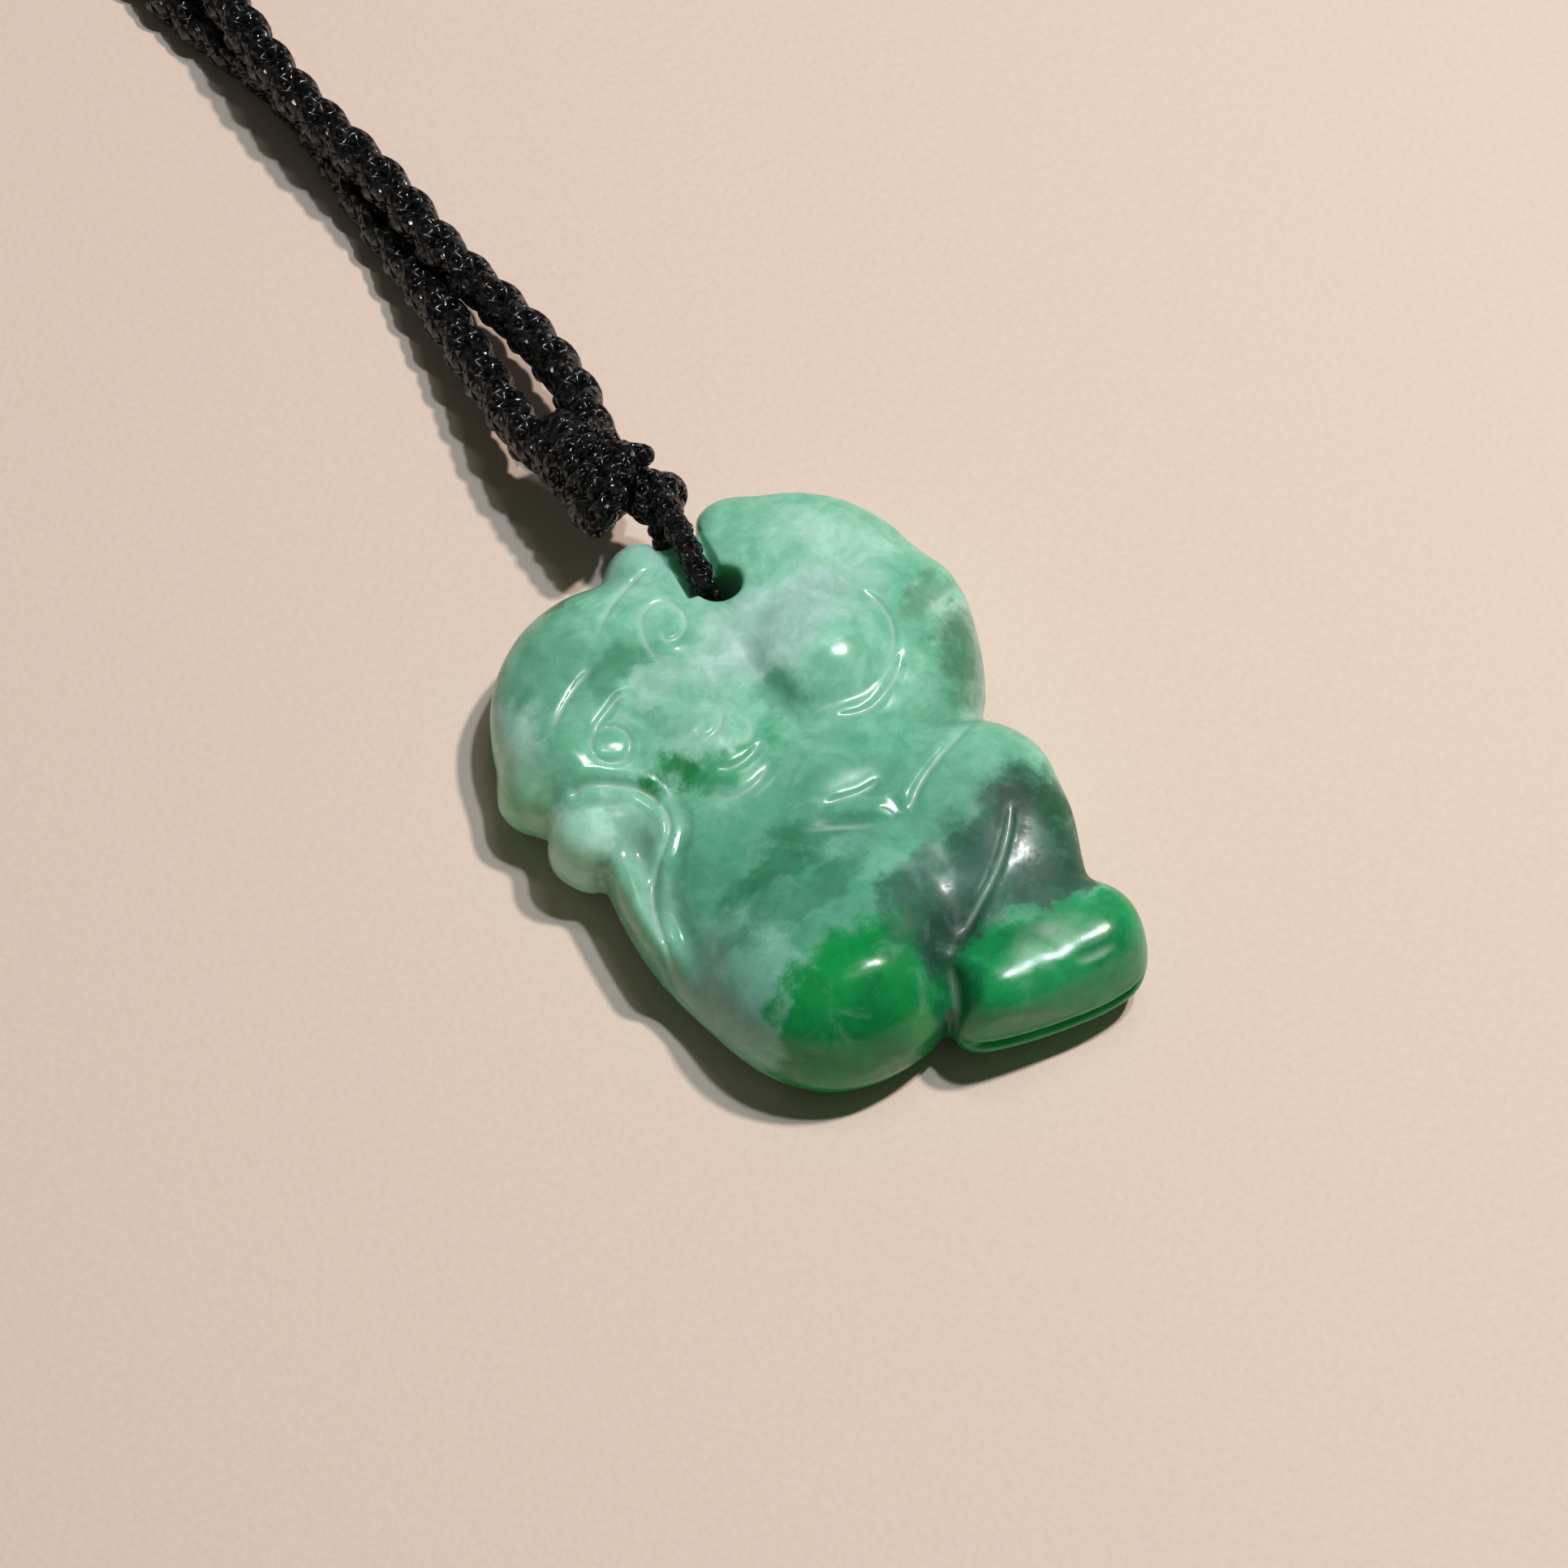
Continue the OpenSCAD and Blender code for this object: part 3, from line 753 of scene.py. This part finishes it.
def surface_net(field, low, step):
    """One vertex in each cell that the zero surface crosses, and quads round each crossed edge."""
    negative = field < 0
    corners = [np.array(c) for c in np.ndindex(2, 2, 2)]
    last = np.array(field.shape) - 1
    spans = [tuple(slice(c[k], c[k] + last[k]) for k in range(3)) for c in corners]
    count = sum(negative[span].astype(np.int8) for span in spans)
    active = (count > 0) & (count < 8)
    cells = np.argwhere(active)
    index = np.full(active.shape, -1, np.int32)
    index[active] = np.arange(len(cells))
    total, hits = np.zeros((len(cells), 3)), np.zeros(len(cells))
    ends = np.eye(3, dtype=int)
    for corner in corners:
        for end in ends:
            if corner @ end:
                continue
            a, b = field[tuple((cells + corner).T)], field[tuple((cells + corner + end).T)]
            crossed = (a < 0) != (b < 0)
            share = np.where(crossed, a / np.where(crossed, a - b, 1), 0)
            total[crossed] += (corner + share[:, None] * end)[crossed]
            hits += crossed
    points = low + step * (cells + total / hits[:, None])
    quads = []
    for axis in range(3):
        u, v = (axis + 1) % 3, (axis + 2) % 3
        before = [slice(1, last[k]) for k in range(3)]
        after = list(before)
        before[axis], after[axis] = slice(0, last[axis]), slice(1, last[axis] + 1)
        first, second = negative[tuple(before)], negative[tuple(after)]
        for wanted, order in ((first & ~second, 1), (~first & second, -1)):
            at = np.argwhere(wanted)
            at[:, u] += 1
            at[:, v] += 1
            ring = [at - ends[u] - ends[v], at - ends[v], at, at - ends[u]]
            quads.append(np.stack([index[tuple(r.T)] for r in ring[::order]], -1))
    return points, np.concatenate(quads)


def settled(plan, points, rounds, most):
    """The points moved onto the carving's true surface."""
    probe = 0.02
    for _ in range(rounds):
        value = carving_field(plan, *points.T)
        ahead = [carving_field(plan, *(points + probe * axis).T) for axis in np.eye(3)]
        slope = np.stack([(a - value) / probe for a in ahead], 1)
        move = np.clip(value / np.maximum((slope**2).sum(1), 0.1), -most, most)
        points = points - move[:, None] * slope
    points[:, 2] = np.maximum(points[:, 2], 0)
    return points


def carve():
    """The carving's surface, from its field inside the CAD solid's box."""
    low, high = (np.array(corner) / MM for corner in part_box("jade_carving"))
    low, high = low - MARGIN, high + MARGIN
    plan = Plan(low[:2], high[:2])
    low[2] = -0.5 * VOXEL
    axes = [np.arange(low[k], high[k] + VOXEL, VOXEL) for k in range(3)]
    x, y, z = np.meshgrid(*axes, indexing="ij")
    points, quads = surface_net(carving_field(plan, x, y, z), np.array([a[0] for a in axes]), VOXEL)
    piece = mesh_piece("jade_figure", settled(plan, points, 3, 0.06), quads)
    refine_marks(piece, plan)
    return piece


def refine_marks(piece, plan):
    """Finer faces along the engraved lines, and how engraved each vertex is, for its pale colour, which is
    partly painted highlight.
    """
    shape = bmesh.new()
    shape.from_mesh(piece.data)
    spots = np.array([v.co for v in shape.verts]) / MM
    marked = (plan.at(spots[:, 0], spots[:, 1])[:, 2] > FAINTEST_MARK) & (spots[:, 2] > RIM_Z)
    edges = [e for e in shape.edges if marked[e.verts[0].index] and marked[e.verts[1].index]]
    bmesh.ops.subdivide_edges(shape, edges=edges, cuts=1, use_grid_fill=True)
    shape.to_mesh(piece.data)
    shape.free()
    spots = np.empty(len(piece.data.vertices) * 3, np.float32)
    piece.data.vertices.foreach_get("co", spots)
    spots = settled(plan, spots.reshape(-1, 3).astype(float) / MM, 3, 0.05)
    piece.data.vertices.foreach_set("co", (spots * MM).astype(np.float32).ravel())
    marks = np.where(spots[:, 2] > RIM_Z, plan.at(spots[:, 0], spots[:, 1])[:, 2], 0)
    layer = piece.data.attributes.new("engraved", "FLOAT", "POINT")
    layer.data.foreach_set("value", marks.astype(np.float32))
    piece.data.polygons.foreach_set("use_smooth", np.ones(len(piece.data.polygons), bool))
    piece.data.update()


jade_figure = carve()


# ---------------------------------------------------------------- materials


class Nodes:
    """Short calls for building a material's nodes."""

    def __init__(self, name):
        self.material = bpy.data.materials.new(name)
        self.material.use_nodes = True
        self.tree = self.material.node_tree
        self.shader = self.tree.nodes["Principled BSDF"]

    def add(self, kind, inputs=(), **settings):
        """A node of a kind, with its settings, and values or links for its sockets."""
        node = self.tree.nodes.new("ShaderNode" + kind)
        for key, value in settings.items():
            setattr(node, key, value)
        for key, value in dict(inputs).items():
            self.put(node.inputs[key], value)
        return node

    def put(self, socket, value):
        """Link a socket to the value, or set it."""
        if isinstance(value, bpy.types.NodeSocket):
            self.tree.links.new(value, socket)
        else:
            socket.default_value = value

    def place(self):
        """Place on the object, in metres."""
        return self.add("TexCoord").outputs["Object"]

    def noise(self, where, scale, detail=4.0, rough=0.55, distortion=0.0, output="Fac"):
        """Noise whose scale is in features to the metre."""
        inputs = {"Vector": where, "Scale": scale, "Detail": detail, "Roughness": rough}
        inputs["Distortion"] = distortion
        return self.add("TexNoise", inputs).outputs[output]

    def math(self, operation, a, b=0.0):
        """Arithmetic on one value or two."""
        return self.add("Math", {0: a, 1: b}, operation=operation).outputs[0]

    def ramp(self, value, low, high):
        """0 below low, 1 above high, smooth between."""
        inputs = {"Value": value, "From Min": low, "From Max": high}
        return self.add("MapRange", inputs, interpolation_type="SMOOTHSTEP").outputs[0]

    def mix(self, share, a, b, blend="MIX"):
        """Colour b over colour a by a share."""
        node = self.add("Mix", data_type="RGBA", blend_type=blend)
        for key, value in ((0, share), (6, a), (7, b)):
            self.put(node.inputs[key], value)
        return node.outputs[2]

    def bump(self, height, distance, strength=1.0):
        """Bump whose distance is in metres."""
        inputs = {"Height": height, "Distance": distance, "Strength": strength}
        return self.add("Bump", inputs).outputs[0]

    def finish(self, **values):
        """Set the shader's sockets, named with _ for a space, and give the material back."""
        for key, value in values.items():
            self.put(self.shader.inputs[key.replace("_", " ")], value)
        return self.material


def rgb(r, g, b):
    """A solid colour."""
    return (r, g, b, 1.0)


# How far the patches' edges wander, in metres
PATCH_WANDER = 0.006
# Colour patches in the stone: centre, half sizes, turn in degrees, softness, colour, strength
PATCHES = [
    ((-1, -6), (9.5, 6.5), 0, 0.6, rgb(0.085, 0.36, 0.22), 0.6),
    ((-9, 11), (4, 4), 40, 0.9, rgb(0.15, 0.4, 0.27), 0.6),
    ((3.2, 8), (5.4, 2.2), 12, 0.9, rgb(0.5, 0.72, 0.67), 0.75),
    ((8.6, 12), (4, 1.8), -35, 0.9, rgb(0.5, 0.78, 0.64), 0.6),
    ((-3.6, 7.4), (1.4, 1), 25, 0.5, rgb(0.42, 0.66, 0.56), 0.7),
    ((-3, 4), (2.2, 1.6), 10, 0.9, rgb(0.42, 0.7, 0.56), 0.5),
    ((-1, 16), (2.8, 2.2), 0, 0.9, rgb(0.34, 0.62, 0.54), 0.8),
    ((-7.4, -9), (2.6, 3.2), 15, 0.6, rgb(0.24, 0.52, 0.42), 0.85),
    ((-9.6, 1.8), (2.8, 2.2), 0, 0.7, rgb(0.28, 0.54, 0.4), 0.8),
    ((-9.4, -2.4), (1.2, 3.4), -5, 0.8, rgb(0.26, 0.52, 0.38), 0.7),
    ((-12.8, 5.8), (1.6, 2.4), 0, 0.8, rgb(0.3, 0.7, 0.4), 0.8),
    ((-12.6, 10), (1.8, 4), 20, 0.9, rgb(0.5, 0.84, 0.7), 0.8),
    ((-11.6, 2.2), (1.7, 2), 0, 0.8, rgb(0.52, 0.86, 0.68), 0.85),
    ((0, -5), (1.7, 1.3), 0, 0.9, rgb(0.18, 0.44, 0.34), 0.6),
    ((-1.6, -9.4), (3.4, 1.6), -10, 0.9, rgb(0.07, 0.33, 0.19), 0.6),
    ((-5.4, -2.6), (2.6, 2.4), 0, 0.9, rgb(0.09, 0.36, 0.22), 0.5),
    ((9.2, -3.2), (3, 2.6), 30, 0.9, rgb(0.22, 0.54, 0.39), 0.7),
    ((9.8, 0.8), (2.2, 1.6), 0, 0.9, rgb(0.1, 0.28, 0.17), 0.5),
    ((-1.9, -2), (3, 2), 0, 0.9, rgb(0.08, 0.34, 0.21), 0.4),
    ((-4.9, 9), (2, 1.1), 35, 0.9, rgb(0.06, 0.27, 0.15), 0.65),
    ((-5.4, 2.6), (1.5, 1.0), -40, 0.9, rgb(0.005, 0.24, 0.05), 0.9),
    ((-2.6, 2), (2.6, 0.9), 15, 0.9, rgb(0.03, 0.36, 0.15), 0.7),
    ((0.6, -3.9), (2.6, 1), -20, 0.9, rgb(0.05, 0.25, 0.14), 0.6),
    ((-3.4, -4.6), (3, 1.3), 15, 0.9, rgb(0.02, 0.2, 0.09), 0.75),
    ((-3.6, -6.9), (4.4, 0.8), 10, 1.0, rgb(0.03, 0.2, 0.1), 0.6),
    ((1.5, 3.9), (1.1, 1.8), 10, 0.9, rgb(0.07, 0.32, 0.19), 0.6),
    ((11.9, 4.8), (1.2, 1.3), 0, 0.9, rgb(0.5, 0.7, 0.58), 0.6),
    ((11.4, 2.6), (1.6, 2.4), -25, 0.8, rgb(0.06, 0.18, 0.09), 0.75),
    ((10.9, 6.3), (2.4, 0.8), 22, 0.9, rgb(0.14, 0.3, 0.19), 0.6),
    ((-6.3, 15.4), (1.2, 0.9), 0, 0.9, rgb(0.15, 0.24, 0.11), 0.6),
    ((-1.6, -15.6), (7, 5.8), 10, 0.2, rgb(0.001, 0.29, 0.065), 0.97),
    ((4.4, -10.4), (4.4, 2.3), 25, 0.9, rgb(0.025, 0.1, 0.072), 0.88),
    ((9.5, -8.5), (3.2, 3.2), -10, 0.9, rgb(0.012, 0.075, 0.046), 0.92),
    ((9.2, -11.4), (2.4, 1.3), 5, 0.8, rgb(0.018, 0.08, 0.05), 0.85),
    ((2.8, -11.8), (2.2, 1), 35, 1.0, rgb(0.018, 0.055, 0.042), 0.8),
    ((3.2, -8.2), (1.8, 0.9), 30, 1.0, rgb(0.11, 0.24, 0.19), 0.7),
    ((7.2, -8.6), (1.6, 0.7), 50, 1.0, rgb(0.06, 0.15, 0.12), 0.6),
    ((10.4, -5.6), (1.1, 1.2), 0, 1.0, rgb(0.03, 0.13, 0.07), 0.6),
    ((10.9, -7.4), (1.7, 1.7), 0, 0.8, rgb(0.012, 0.1, 0.035), 0.8),
    ((9.1, -6.9), (1.3, 1), 20, 1.0, rgb(0.008, 0.055, 0.032), 0.8),
    ((1.4, -9.2), (1.5, 1), 10, 1.0, rgb(0.012, 0.09, 0.055), 0.7),
    ((8.9, -9.5), (1.6, 0.8), 35, 1.0, rgb(0.12, 0.26, 0.2), 0.5),
    ((7.2, -16.6), (7.4, 4.2), 0, 0.2, rgb(0.012, 0.32, 0.1), 0.95),
    ((1.8, -14.4), (1.5, 1.3), 40, 1.0, rgb(0.004, 0.13, 0.05), 0.7),
    ((-2.6, -14.2), (1.8, 1), -20, 1.0, rgb(0.004, 0.18, 0.05), 0.6),
    ((6.2, -13.9), (1.6, 0.9), 10, 1.0, rgb(0.006, 0.17, 0.06), 0.6),
    ((9.6, -15.8), (1.7, 0.8), 0, 1.0, rgb(0.006, 0.18, 0.06), 0.6),
]


def jade_material():
    """Cloudy jade with patches, mottling, veins and pale threads, and pale engraved lines that are partly
    painted highlight.
    """
    n = Nodes("jade")
    place = n.place()
    cloud = n.noise(place, 260, 5, 0.6, 0.6)
    fine = n.noise(place, 900, 4, 0.6)
    wisps = n.noise(place, 150, 4, 0.6, 1.6)
    mid = n.mix(n.ramp(cloud, 0.3, 0.7), rgb(0.16, 0.5, 0.33), rgb(0.3, 0.66, 0.48))
    colour = n.mix(n.math("MULTIPLY", n.ramp(wisps, 0.5, 0.75), 0.6), mid, rgb(0.42, 0.74, 0.58))
    wander = n.noise(place, 300, 6, 0.65, output="Color")
    shift = n.add("VectorMath", {0: wander, 1: (0.5, 0.5, 0.5)}, operation="SUBTRACT").outputs[0]
    shift = n.add("VectorMath", {0: shift, "Scale": PATCH_WANDER}, operation="SCALE").outputs[0]
    loose = n.add("VectorMath", {0: place, 1: shift}, operation="ADD").outputs[0]
    for (x, y), (rx, ry), turn, soft, tint, strength in PATCHES:
        moved = n.add("Mapping", {"Vector": loose, "Location": (-x * MM, -y * MM, 0)}).outputs[0]
        spin = n.add("Mapping", {"Vector": moved, "Rotation": (0, 0, -math.radians(turn))}).outputs[0]
        scaled = {"Vector": spin, "Scale": (1 / (rx * MM), 1 / (ry * MM), 0)}
        away = n.add("VectorMath", {0: n.add("Mapping", scaled).outputs[0]}, operation="LENGTH")
        inside = n.ramp(away.outputs["Value"], 1 + soft / 2, 1 - soft / 2)
        colour = n.mix(n.math("MULTIPLY", inside, strength), colour, tint)
    mottle = n.ramp(fine, 0.3, 0.7)
    shade = n.mix(mottle, rgb(0.6, 0.7, 0.62), rgb(1.4, 1.27, 1.35))
    colour = n.mix(0.22, colour, shade, "MULTIPLY")
    veins = n.ramp(n.noise(place, 420, 6, 0.7, 0.8), 0.42, 0.6)
    colour = n.mix(0.35, colour, n.mix(veins, rgb(0.5, 0.72, 0.58), rgb(1.2, 1.1, 1.15)), "MULTIPLY")
    threads = n.ramp(n.noise(place, 520, 6, 0.7, 1.0), 0.5, 0.72)
    colour = n.mix(n.math("MULTIPLY", threads, 0.22), colour, rgb(0.3, 0.56, 0.44))
    # Pale engraved lines: partly the ground groove's own whitish colour, partly painted highlight along the
    # groove
    engraved = n.add("Attribute", attribute_name="engraved").outputs["Fac"]
    colour = n.mix(n.math("MULTIPLY", engraved, 0.5), colour, rgb(0.55, 0.78, 0.66))
    rough = n.math("ADD", n.math("MULTIPLY", n.noise(place, 1500, 4, 0.7), 0.3), 0.08)
    green = n.add("SeparateColor", {0: colour}).outputs[1]
    rough = n.math("ADD", rough, n.math("MULTIPLY", n.ramp(green, 0.2, 0.1), 0.25))
    return n.finish(
        Base_Color=colour, Roughness=rough, Normal=n.bump(fine, 0.00002, 0.4), IOR=1.4,
        Subsurface_Weight=0.7, Subsurface_Radius=(0.3, 1.0, 0.6), Subsurface_Scale=0.0022,
    )


# Crossings of the filaments once round a ply
CROSSINGS = 4.0


def cord_material(name, weave):
    """Black nylon: filaments that cross along each ply, so many to a millimetre, with a painted sheen that
    lightens their crowns.
    """
    n = Nodes(name)
    marks = n.add("UVMap", uv_map="along").outputs[0]
    split = n.add("SeparateXYZ", {0: marks}).outputs
    ways = []
    for way in (1, -1):
        around = n.math("MULTIPLY", split[0], CROSSINGS * way)
        along = n.math("MULTIPLY", split[1], weave)
        phase = n.math("MULTIPLY", n.math("ADD", around, along), 2 * math.pi)
        ways.append(n.math("SINE", phase))
    weft = n.math("MAXIMUM", ways[0], ways[1])
    grain = n.noise(n.place(), 2500, 3)
    # Painted sheen: the filaments' crowns get a lighter colour than the black between them
    crown_sheen = n.ramp(weft, 0.3, 1.0)
    colour = n.mix(crown_sheen, rgb(0.0015, 0.0015, 0.0018), rgb(0.006, 0.006, 0.007))
    height = n.math("ADD", n.math("MULTIPLY", weft, 0.5), n.math("MULTIPLY", grain, 0.4))
    rough = n.ramp(n.noise(n.place(), 1400, 2), 0.35, 0.7)
    rough = n.math("ADD", n.math("MULTIPLY", rough, 0.3), 0.12)
    bump = n.bump(height, 0.00018, 1.0)
    return n.finish(Base_Color=colour, Roughness=rough, Normal=bump, Specular_IOR_Level=0.5)


def table_material():
    """Plain pale card with a slight grain."""
    n = Nodes("table")
    grain = n.noise(n.place(), 2600, 3)
    colour = n.mix(n.ramp(grain, 0.3, 0.7), rgb(0.735, 0.6, 0.495), rgb(0.765, 0.63, 0.525))
    return n.finish(Base_Color=colour, Roughness=0.75, Normal=n.bump(grain, 0.00004, 0.6))


jade = jade_material()
braided = cord_material("braided_cord", 1.5)
thin_braided = cord_material("bail_cord", 2.4)
jade_figure.data.materials.append(jade)
for piece in (left_strand, right_strand, binding, button, cord_end):
    piece.data.materials.append(braided)
for piece in (bail_loop, bail_tie, coil_tie, clasp):
    piece.data.materials.append(thin_braided)

# ---------------------------------------------------------------- bodies

for piece, body, slot, nodes in (
    (jade_figure, "jade", "jade", ["jade_carving"]),
    (bail_loop, "bail", "bail_cord", ["bail_cord"]),
    (bail_tie, "bail", "bail_cord", ["bail_knot"]),
    (binding, "neck_cord", "braided_cord", ["binding_knot"]),
    (cord_end, "neck_cord", "braided_cord", []),
    (left_strand, "neck_cord", "braided_cord", ["braid_left", "coil_left"]),
    (right_strand, "neck_cord", "braided_cord", ["braid_right", "coil_right"]),
    (coil_tie, "neck_cord", "bail_cord", ["coil_tie"]),
    (button, "neck_cord", "braided_cord", ["button_knot"]),
    (clasp, "neck_cord", "bail_cord", ["clasp_loop"]),
):
    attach(piece, body)
    if nodes:
        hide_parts(*nodes)


# ---------------------------------------------------------------- stage

# In metres: side of the table, and how far it lies below the part
TABLE_SIDE, TABLE_GAP = 3, 0.00002
bpy.ops.mesh.primitive_plane_add(size=TABLE_SIDE, location=(0, 0, -TABLE_GAP))
floor = bpy.context.object
floor.name = "table"
floor.data.materials.append(table_material())

world = bpy.data.worlds.new("room")
world.use_nodes = True
room_light = world.node_tree.nodes["Background"].inputs
room_light["Color"].default_value = rgb(1.0, 1.0, 0.85)
room_light["Strength"].default_value = 0.065
bpy.context.scene.world = world


def lamp(name, at, size, power, tint):
    """A rectangular lamp that faces the carving: metres, watts and colour."""
    data = bpy.data.lights.new(name, "AREA")
    data.shape = "RECTANGLE"
    data.size, data.size_y = size
    data.energy = power
    data.color = tint
    light = bpy.data.objects.new(name, data)
    light.location = at
    light.rotation_euler = (-Vector(at)).to_track_quat("-Z", "Y").to_euler()
    bpy.context.scene.collection.objects.link(light)


lamp("key", at=(0.19, -0.004, 0.408), size=(0.024, 0.024), power=1.25, tint=(1.0, 0.89, 0.84))
lamp("second", at=(0.128, 0.004, 0.4315), size=(0.02, 0.02), power=0.75, tint=(0.78, 0.88, 1.0))
lamp("overhead", at=(0.10, 0.08, 0.42), size=(0.14, 0.03), power=0.16, tint=(1.0, 0.98, 0.95))

bpy.context.scene.view_settings.view_transform = "Standard"
